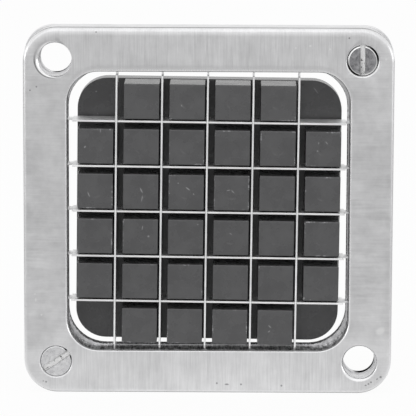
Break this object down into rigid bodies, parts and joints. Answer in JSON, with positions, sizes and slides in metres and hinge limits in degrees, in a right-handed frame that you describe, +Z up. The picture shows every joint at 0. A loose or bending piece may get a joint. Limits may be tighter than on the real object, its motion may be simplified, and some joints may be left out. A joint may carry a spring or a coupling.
{
  "type": "french fry cutter head",
  "caption": "Square clamped frame holding a crossed grid of thin blades, with a fingered push block that slides through the grid to cut potatoes into sticks.",
  "frame": {"origin": "midway between the two stud holes, on the plane where the back of the frame meets the machine", "axes": "+X right and +Z up as seen from the delivery side; +Y from the delivery side back towards the ram"},
  "size_m": [0.1032, 0.0185, 0.1032],
  "materials": {
    "frame_aluminium": "fine brushed",
    "blade_steel": "bright ground",
    "screw_steel": "bright turned",
    "block_plastic": "satin moulded",
    "insert_brass": "knurled, machined face"
  },
  "bodies": {
    "blade_frame": {"front_ring": "frame_aluminium", "rear_ring": "frame_aluminium", "upright_blade_1": "blade_steel", "upright_blade_2": "blade_steel", "upright_blade_3": "blade_steel", "upright_blade_4": "blade_steel", "upright_blade_5": "blade_steel", "level_blade_1": "blade_steel", "level_blade_2": "blade_steel", "level_blade_3": "blade_steel", "level_blade_4": "blade_steel", "level_blade_5": "blade_steel", "upper_frame_screw": "screw_steel", "lower_frame_screw": "screw_steel"},
    "push_block": {"push_block": "block_plastic", "block_insert_1": "insert_brass", "block_insert_2": "insert_brass", "block_insert_3": "insert_brass", "block_insert_4": "insert_brass"}
  },
  "joints": [
    {"name": "push_stroke", "type": "slide", "parent": "blade_frame", "child": "push_block", "axis": [0, 1, 0], "range_m": [-0.002, 0.127]}
  ]
}
